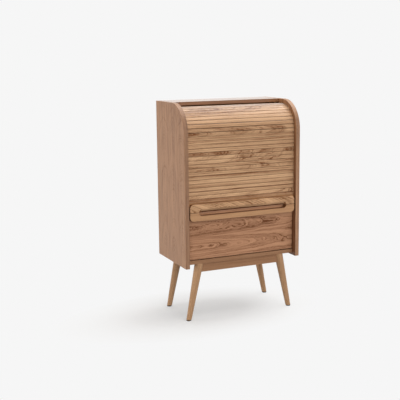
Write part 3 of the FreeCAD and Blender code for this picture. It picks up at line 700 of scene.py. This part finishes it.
def canvas_material():
    """Cotton cloth in a plain weave."""
    material, g = new_material("canvas_cloth")
    x, y, z = object_place(g)
    thread = math.tau / canvas_thread_pitch
    climb = g.math("ADD", z, y)
    warp = g.math("SINE", g.math("MULTIPLY", x, thread))
    weft = g.math("SINE", g.math("MULTIPLY", climb, thread))
    height = g.remap(g.math("MULTIPLY", warp, weft), -1.0, 1.0)
    spread = g.join(g.math("MULTIPLY", x, canvas_slub), g.math("MULTIPLY", climb, canvas_slub), y)
    slub = g.noise(spread, detail=3.0)
    weave = g.math("MULTIPLY", height, 1 - canvas_slub_share)
    share = g.math("MULTIPLY_ADD", slub, canvas_slub_share, weave)
    g.finish(g.blend(share, canvas_dark, canvas_pale), canvas_roughness, height, canvas_relief)
    return material


def dimmed(colour, share):
    return tuple(c * share for c in colour)


def metal_material(name, colour, roughness, blotches):
    """Plated metal with a faint uneven polish."""
    material, g = new_material(name)
    place = coordinates(g)
    blotch = g.noise(place, detail=3.0, scale=blotches)
    speck = g.noise(place, detail=2.0, scale=blotches * metal_speck_scale)
    tint = g.blend(blotch, dimmed(colour, metal_dim_share), colour)
    rough = g.math("MULTIPLY_ADD", blotch, metal_roughness_spread, roughness)
    g.finish(tint, rough, speck, metal_relief, metallic=1.0)
    return material


def plastic_material(name, colour, roughness):
    """Moulded plastic or rubber with a fine spark-eroded texture."""
    material, g = new_material(name)
    place = coordinates(g)
    speck = g.noise(place, detail=2.0, scale=plastic_speck)
    cloud = g.noise(place, detail=2.0, scale=plastic_cloud)
    tint = g.blend(cloud, dimmed(colour, plastic_dim_share), colour)
    rough = g.math("MULTIPLY_ADD", cloud, plastic_roughness_spread, roughness)
    g.finish(tint, rough, speck, plastic_relief)
    return material


def make_materials():
    """One finish for each material slot of the record, and those of single nodes."""
    slat = {"grain": grain_of_slats, "pale": slat_pale, "dark": slat_dark, "wave": 0.003, "jags": 1.6,
            "lines": 1.4, "streaks": 1.3, "clouds": 0.6}
    board = {"grain": grain_of_boards, "pale": top_pale, "dark": top_dark, "lines": 0.5,
             "streaks": 1.2, "clouds": 0.5}
    birch = {"grain": grain_along_x, "pale": birch_pale, "dark": birch_dark, "pores": 0.1}
    return {
        "side_veneer": wood("side_ash", grain_of_sides, side_pale, side_dark, slope=0.14, leaf=side_leaf,
                            leaf_start=side_leaf_start, lines=0.38, streaks=3.0, clouds=0.7,
                            roughness=0.45, lacquer=0.4),
        "top_veneer": wood("top_ash", **board, roughness=0.25, lacquer=1.0),
        "bottom_wood": wood("bottom_ash", **board, roughness=0.6),
        "slat_wood": wood("slat_oak", **slat, roughness=0.5),
        "upper_slat_wood": wood("upper_slat_oak", **slat, lacquer=0.6, haze=1.0),
        "handle_wood": wood("handle_oak", grain_of_handles, handle_pale, handle_dark,
                            heart=lower_heart_z, lines=0.9, streaks=1.1, clouds=0.4),
        "upper_handle_wood": wood("upper_handle_oak", grain_of_handles, upper_handle_pale, handle_dark,
                                  ring=0.0026, depth=handle_heart_depth, heart=handle_heart_z,
                                  wave=0.0006, wander=0.003, lines=1.6, streaks=0.8, clouds=0.4,
                                  jags=1.0),
        "rail_wood": wood("rail_oak", grain_of_rail, rail_pale, rail_dark_and_seam_shade, heart=lower_heart_z,
                          lines=0.9, streaks=1.1, clouds=0.4),
        "drawer_veneer": wood("drawer_oak", grain_of_drawer, drawer_pale, drawer_dark, leaf=drawer_leaf,
                              leaf_start=drawer_leaf_start, slope=0.06, wave=0.0042, jags=1.4,
                              lines=1.7, streaks=1.1, clouds=0.6),
        "leg_wood": wood("leg_oak", grain_of_legs, leg_pale, leg_dark, slope=0.02, lines=0.5,
                         streaks=1.2, clouds=0.4),
        "apron_wood": wood("apron_oak", grain_along_x, apron_pale, apron_dark, slope=0.03, lines=0.6,
                           streaks=1.2, clouds=0.4),
        "inner_board": wood("inner_birch", **birch, lines=0.4, streaks=0.6, clouds=0.5),
        "drawer_box": wood("drawer_box_birch", **birch, lines=0.5, streaks=0.6, clouds=0.5),
        "back_board": wood("back_ash", grain_along_z, side_pale, side_dark, lines=0.8, clouds=0.5,
                           leaf=back_leaf),
        "dowel_wood": wood("dowel_birch", **birch, lines=0.4),
        "canvas": canvas_material(),
        "steel": metal_material("plated_steel", steel_grey, roughness=0.28, blotches=90.0),
        "zinc": metal_material("cast_zinc", zinc_grey, roughness=0.42, blotches=60.0),
        "glide_plastic": plastic_material("dark_glide", glide_black, roughness=0.5),
        "bumper_rubber": plastic_material("clear_rubber", rubber_grey, roughness=0.6),
    }


def mesh_object(name, bm, material):
    """A mesh object from a bmesh, smooth but for its sharp edges."""
    bmesh.ops.recalc_face_normals(bm, faces=bm.faces)
    for edge in bm.edges:
        edge.smooth = not (edge.is_manifold and edge.calc_face_angle(0) > smooth_angle)
    for face in bm.faces:
        face.smooth = True
    mesh = bpy.data.meshes.new(name)
    bm.to_mesh(mesh)
    bm.free()
    piece = bpy.data.objects.new(name, mesh)
    bpy.context.scene.collection.objects.link(piece)
    mesh.materials.append(material)
    return piece


def station(distance, inward=0.0):
    """Point and turn of the shutter's back line at a distance along it, or of a line behind it."""
    radius = bend_radius - inward
    if distance < to_bend:
        return Vector((0, bend_y - radius, rail_high.z + distance)), 0.0
    if distance < to_top:
        turn = (distance - to_bend) / bend_radius
        return Vector((0, bend_y - radius * math.cos(turn), bend_z + radius * math.sin(turn))), turn
    return Vector((0, bend_y + distance - to_top, bend_z + radius)), math.pi / 2


def slat_section():
    """Outline of one slat as (outward, along) points: rounded at the face, eased at the back."""
    corners = [
        (0.0, -slat_half, slat_back_round, math.pi, math.pi * 3 / 2),
        (slat_thickness, -slat_half, slat_round, math.pi * 3 / 2, math.tau),
        (slat_thickness, slat_half, slat_round, 0.0, math.pi / 2),
        (0.0, slat_half, slat_back_round, math.pi / 2, math.pi),
    ]
    points = []
    for out, along, radius, start, end in corners:
        centre_out = out - radius if out else radius
        centre_along = along - math.copysign(radius, along)
        for step in range(slat_round_steps + 1):
            angle = start + (end - start) * step / slat_round_steps
            points.append((centre_out + radius * math.cos(angle), centre_along + radius * math.sin(angle)))
    return points


def slat(index, board, offset, tone, figure, deeper, start, material):
    """One slat where it lies at rest, with its place in the board that it was cut from."""
    place, turn = station((index + 1 / 2) * slat_pitch)
    outward = Vector((0, -math.cos(turn), math.sin(turn)))
    along = Vector((0, math.sin(turn), math.cos(turn)))
    bm = bmesh.new()
    rings = []
    for step in range(slat_lengths + 1):
        x = slat_reach * (2 * step / slat_lengths - 1)
        rings.append([bm.verts.new(place + outward * o + along * a + Vector((x, 0, 0)))
                      for o, a in slat_section()])
    for ring, following in zip(rings, rings[1:]):
        count = len(ring)
        for k in range(count):
            bm.faces.new((ring[k], ring[(k + 1) % count], following[(k + 1) % count], following[k]))
    bm.faces.new(rings[0])
    bm.faces.new(rings[-1])
    piece = mesh_object(f"slat_{index + 1:02d}", bm, material)
    grains = []
    for vertex in piece.data.vertices:
        local = vertex.co - place
        grains += (local.x + start, local.dot(along) + offset,
                   local.dot(outward) - slat_thickness + deeper)
    count = len(piece.data.vertices)
    piece.data.attributes.new("grain", "FLOAT_VECTOR", "POINT").data.foreach_set("vector", grains)
    for name, value in (("board", board), ("tone", tone), ("figure", figure)):
        piece.data.attributes.new(name, "FLOAT", "POINT").data.foreach_set("value", [value] * count)
    return piece


def cut_slats(materials):
    """All slats, bottom one first, cut in turn from the boards; the bend's upper ones are lacquered."""
    pieces = []
    for board, (count, heart, tone, figure, deeper, start) in enumerate(slat_boards):
        for k in range(count):
            offset = (k - (count - 1) / 2) * slat_pitch - heart
            is_lacquered = first_lacquered_slat <= len(pieces) < first_covered_slat
            finish = "upper_slat_wood" if is_lacquered else "slat_wood"
            pieces.append(slat(len(pieces), board, offset, tone, figure, deeper, start,
                               materials[finish]))
    return pieces


def canvas_sheet(name, start, end, slats, material):
    """The cloth glued behind some slats, drawn in a little between them."""
    reach = canvas_high.x
    stops = len(slats) * canvas_stops
    bm = bmesh.new()
    rows = []
    for step in range(stops + 1):
        distance = start + (end - start) * step / stops
        beat = math.cos(math.tau * distance / slat_pitch)
        near = station(distance, glue_line)[0]
        far = station(distance, glue_line + canvas_thickness - canvas_dip * max(beat, 0.0))[0]
        row = []
        for point in (near, far):
            row += [bm.verts.new(point + Vector((side * reach, 0, 0))) for side in (-1, 1)]
        rows.append(row)
    for low, high in zip(rows, rows[1:]):
        for a, b in ((0, 1), (1, 3), (3, 2), (2, 0)):
            bm.faces.new((low[a], low[b], high[b], high[a]))
    for row in (rows[0], rows[-1]):
        bm.faces.new((row[0], row[1], row[3], row[2]))
    piece = mesh_object(name, bm, material)
    return piece


def build_shutter(materials):
    """Every slat and the cloth that joins them; those on the front, and their cloth, get meshes of their
    own.
    """
    slats = cut_slats(materials)
    for index, piece in enumerate(slats):
        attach(piece, "carcass")
        if index < front_slat_count:
            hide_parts("front_slats")
            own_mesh(piece)
        else:
            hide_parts("fixed_slats")
    travel = front_slat_count * slat_pitch
    low = canvas_low.z - rail_high.z
    front = canvas_sheet("canvas_front", low, travel, slats[:front_slat_count], materials["canvas"])
    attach(front, "carcass")
    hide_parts("front_canvas")
    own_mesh(front)
    total = travel + fixed_slat_count * slat_pitch
    rear = canvas_sheet("canvas_rear", travel, total, slats[front_slat_count:], materials["canvas"])
    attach(rear, "carcass")
    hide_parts("fixed_canvas")


def cross_points(arm, half):
    """Outline of a cross recess."""
    quarter = [(arm, -half), (arm, half), (half, half)]
    points = []
    for turn in range(4):
        c, s = math.cos(turn * math.pi / 2), math.sin(turn * math.pi / 2)
        points += [(x * c - y * s, x * s + y * c) for x, y in quarter]
    return points


def turned_solid(profile, turns, arm, half, depth):
    """A lathe-turned solid along +Z whose first face carries a cross recess."""
    bm = bmesh.new()
    rings = []
    for radius, height in profile:
        if radius:
            rings.append([bm.verts.new((radius * math.cos(math.tau * k / turns),
                                        radius * math.sin(math.tau * k / turns), height))
                          for k in range(turns)])
        else:
            rings.append([bm.verts.new((0, 0, height))])
    for ring, following in zip(rings, rings[1:]):
        for k in range(turns):
            after = (k + 1) % turns
            if len(following) == 1:
                bm.faces.new((ring[k], ring[after], following[0]))
            else:
                bm.faces.new((ring[k], ring[after], following[after], following[k]))
    face_z = profile[0][1]
    outline = cross_points(arm, half)
    rim = [bm.verts.new((x, y, face_z)) for x, y in outline]
    floor = [bm.verts.new((x * cross_taper_share, y * cross_taper_share, face_z + depth))
             for x, y in outline]
    count = len(rim)
    for k in range(count):
        after = (k + 1) % count
        bm.faces.new((rim[k], rim[after], floor[after], floor[k]))
    bm.faces.new(floor)
    outer = [bm.edges.get((rings[0][k], rings[0][(k + 1) % turns])) for k in range(turns)]
    inner = [bm.edges.get((rim[k], rim[(k + 1) % count])) for k in range(count)]
    bmesh.ops.triangle_fill(bm, edges=outer + inner, use_beauty=True)
    if len(rings[-1]) > 1:
        bm.faces.new(rings[-1])
    return bm


def screw_profile(length):
    """Countersunk head, plain neck, ridged thread and point, as (radius, height) pairs."""
    core = screw_radius * screw_core_share
    neck = max(length * screw_neck_share, screw_head_height + screw_thread_pitch)
    points = [(screw_head_radius, 0.0), (screw_head_radius, screw_head_rim),
              (screw_radius, screw_head_height), (screw_radius, neck)]
    height = neck
    tip = length - screw_tip_length
    while height + screw_thread_pitch < tip:
        points.append((core, height + screw_thread_pitch * screw_flank_share))
        points.append((screw_radius, height + screw_thread_pitch))
        height += screw_thread_pitch
    points.append((core, max(tip, height + screw_thread_pitch / 2)))
    points.append((0.0, length))
    return points


def oriented(bm, start, direction):
    """The solid turned from +Z to a direction and set down at a point."""
    turn = Vector((0, 0, 1)).rotation_difference(Vector(direction)).to_matrix().to_4x4()
    bmesh.ops.transform(bm, matrix=Matrix.Translation(start) @ turn, verts=bm.verts)
    return bm


def islands(node):
    """Lowest and highest corners of the separate solids in a CAD node."""
    mesh = nodes[node].data
    key_of = [tuple(round(c * same_point_scale) for c in v.co) for v in mesh.vertices]
    parent = {}

    def root(k):
        while parent.setdefault(k, k) != k:
            parent[k] = parent[parent[k]]
            k = parent[k]
        return k

    for polygon in mesh.polygons:
        first = root(key_of[polygon.vertices[0]])
        for index in polygon.vertices[1:]:
            parent[root(key_of[index])] = first
    groups = {}
    for vertex, key in zip(mesh.vertices, key_of):
        groups.setdefault(root(key), []).append(vertex.co)
    boxes = []
    for points in groups.values():
        low = Vector(min(p[i] for p in points) for i in range(3))
        high = Vector(max(p[i] for p in points) for i in range(3))
        boxes.append((low, high))
    return sorted(boxes, key=lambda pair: tuple(pair[0]))


def build_screws(materials):
    """Screws with crossed heads in place of each plain one, by node, body and direction."""
    rows = [
        ("back_screws", "carcass", (0, -1, 0)),
        ("leg_screws", "carcass", (0, 0, -1)),
        ("shutter_handle_screws", "shutter", (0, -1, 0)),
        ("drawer_handle_screws", "drawer", (0, -1, 0)),
        ("runner_screws", "carcass", (1, 0, 0)),
        ("runner_drawer_screws", "drawer", (-1, 0, 0)),
    ]
    for node, body, way in rows:
        for number, (low, high) in enumerate(islands(node), 1):
            centre = (low + high) / 2
            direction = Vector(way)
            if abs(direction.x) and centre.x < 0:
                direction.x = -direction.x
            extent = abs(direction.dot(high - low))
            start = centre - direction * (extent / 2)
            bm = turned_solid(screw_profile(extent), screw_turns, cross_arm, cross_half, cross_depth)
            piece = mesh_object(f"{node[:-1]}_{number:02d}", oriented(bm, start, direction),
                                materials["steel"])
            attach(piece, body)
            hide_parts(node)


def build_cams(materials):
    """Cast cam housings with a dished face and a crossed slot."""
    for number, (low, high) in enumerate(islands("cam_housings"), 1):
        radius = (high.x - low.x) / 2
        depth = high.z - low.z
        dish = radius * cam_dish_share
        profile = [
            (dish - cam_dish_depth, cam_dish_depth), (dish, 0.0), (radius - cam_chamfer, 0.0),
            (radius, cam_chamfer), (radius, depth - cam_chamfer), (radius - cam_chamfer, depth),
        ]
        start = Vector(((low.x + high.x) / 2, (low.y + high.y) / 2, low.z))
        bm = turned_solid(profile, cam_turns, cross_arm * cam_cross_scale, cross_half * cam_cross_scale,
                          cross_depth * cam_cross_depth_scale)
        piece = mesh_object(f"cam_housing_{number:02d}", oriented(bm, start, (0, 0, 1)), materials["zinc"])
        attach(piece, "carcass")
        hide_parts("cam_housings")


def dress_nodes(materials):
    """Give every CAD node the finish of its material slot, or its own."""
    for name, node in nodes.items():
        for place in node.material_slots:
            slot = place.material.name.split(".")[0]
            place.material = materials[node_finish.get(name, slot)]


def sun(name, direction, level, spread, in_gloss):
    """A soft lamp that lights a facing white surface to the given level."""
    lamp = bpy.data.lights.new(name, "SUN")
    lamp.energy = level * math.pi
    lamp.angle = spread
    holder = bpy.data.objects.new(name, lamp)
    holder.rotation_mode = "QUATERNION"
    holder.rotation_quaternion = Vector(direction).to_track_quat("Z", "Y")
    holder.visible_glossy = in_gloss
    bpy.context.scene.collection.objects.link(holder)


def seen_directly(g):
    """1 for rays from the camera, off gloss or through glass, which see the pale studio."""
    path = g.add("ShaderNodeLightPath")
    either = g.math("MAXIMUM", path.outputs["Is Camera Ray"], path.outputs["Is Glossy Ray"])
    return g.math("MAXIMUM", either, path.outputs["Is Transmission Ray"])


def mixed(g, share, first, second):
    """A mix of two shaders."""
    mix = g.add("ShaderNodeMixShader")
    for socket, value in zip(mix.inputs, (share, first.outputs[0], second.outputs[0])):
        g.feed(socket, value)
    return mix.outputs[0]


def grey(level):
    return (level, level, level, 1)


def build_world():
    """A dim even sky that looks like the pale backdrop."""
    world = bpy.data.worlds.new("studio")
    world.use_nodes = True
    bpy.context.scene.world = world
    g = Graph(world.node_tree)
    light = g.add("ShaderNodeBackground")
    light.inputs["Color"].default_value = grey(sky_level)
    seen = g.add("ShaderNodeBackground")
    seen.inputs["Color"].default_value = grey(background)
    out = g.add("ShaderNodeOutputWorld")
    g.feed(out.inputs["Surface"], mixed(g, seen_directly(g), light, seen))


def build_floor():
    """A pale floor that keeps a light shadow, thinned by a painted glow of backdrop grey, and runs on into
    the backdrop.
    """
    bm = bmesh.new()
    bmesh.ops.create_grid(bm, x_segments=floor_squares, y_segments=floor_squares, size=floor_reach)
    material, g = new_material("pale_floor")
    seen = seen_directly(g)
    diffuse = g.add("ShaderNodeBsdfDiffuse")
    level = g.remap(seen, 0.0, 1.0, floor_albedo * floor_bounce_share, floor_albedo)
    g.feed(diffuse.inputs["Color"], g.blend(level, (0.0, 0.0, 0.0), floor_tint))
    # Painted light: the floor glows with the backdrop's grey, more of it further from the object
    glow = g.add("ShaderNodeEmission")
    glow.inputs["Color"].default_value = grey(background)
    centre = tuple(c * s for c, s in zip(floor_oval_centre, floor_oval))
    place = g.combine("MULTIPLY", coordinates(g), floor_oval, "Vector")
    reach = g.combine("DISTANCE", place, centre, "Value")
    share = g.remap(reach, *floor_oval_reach, floor_glow_share, 1.0)
    out = g.add("ShaderNodeOutputMaterial")
    g.feed(out.inputs["Surface"], mixed(g, g.math("MULTIPLY", seen, share), diffuse, glow))
    mesh_object("studio_floor", bm, material)


def build_camera():
    """The camera at the photograph's viewing angle."""
    back = Vector((math.sin(camera_turn) * math.cos(camera_rise),
                   -math.cos(camera_turn) * math.cos(camera_rise), math.sin(camera_rise)))
    level = Vector((math.cos(camera_turn), math.sin(camera_turn), 0))
    up = back.cross(level)
    right = level * math.cos(camera_roll) + up * math.sin(camera_roll)
    top = up * math.cos(camera_roll) - level * math.sin(camera_roll)
    lens = bpy.data.cameras.new("photo_view")
    lens.lens = camera_lens
    lens.sensor_width = camera_sensor
    camera = bpy.data.objects.new("photo_view", lens)
    place = camera_aim + back * camera_distance - right * camera_slide[0] - top * camera_slide[1]
    camera.matrix_world = Matrix.Translation(place) @ Matrix((right, top, back)).transposed().to_4x4()
    bpy.context.scene.collection.objects.link(camera)
    bpy.context.scene.camera = camera


materials = make_materials()
dress_nodes(materials)
build_shutter(materials)
build_screws(materials)
build_cams(materials)
for lamp in lamps:
    sun(*lamp)
build_world()
build_floor()
build_camera()
bpy.context.scene.view_settings.view_transform = "Standard"
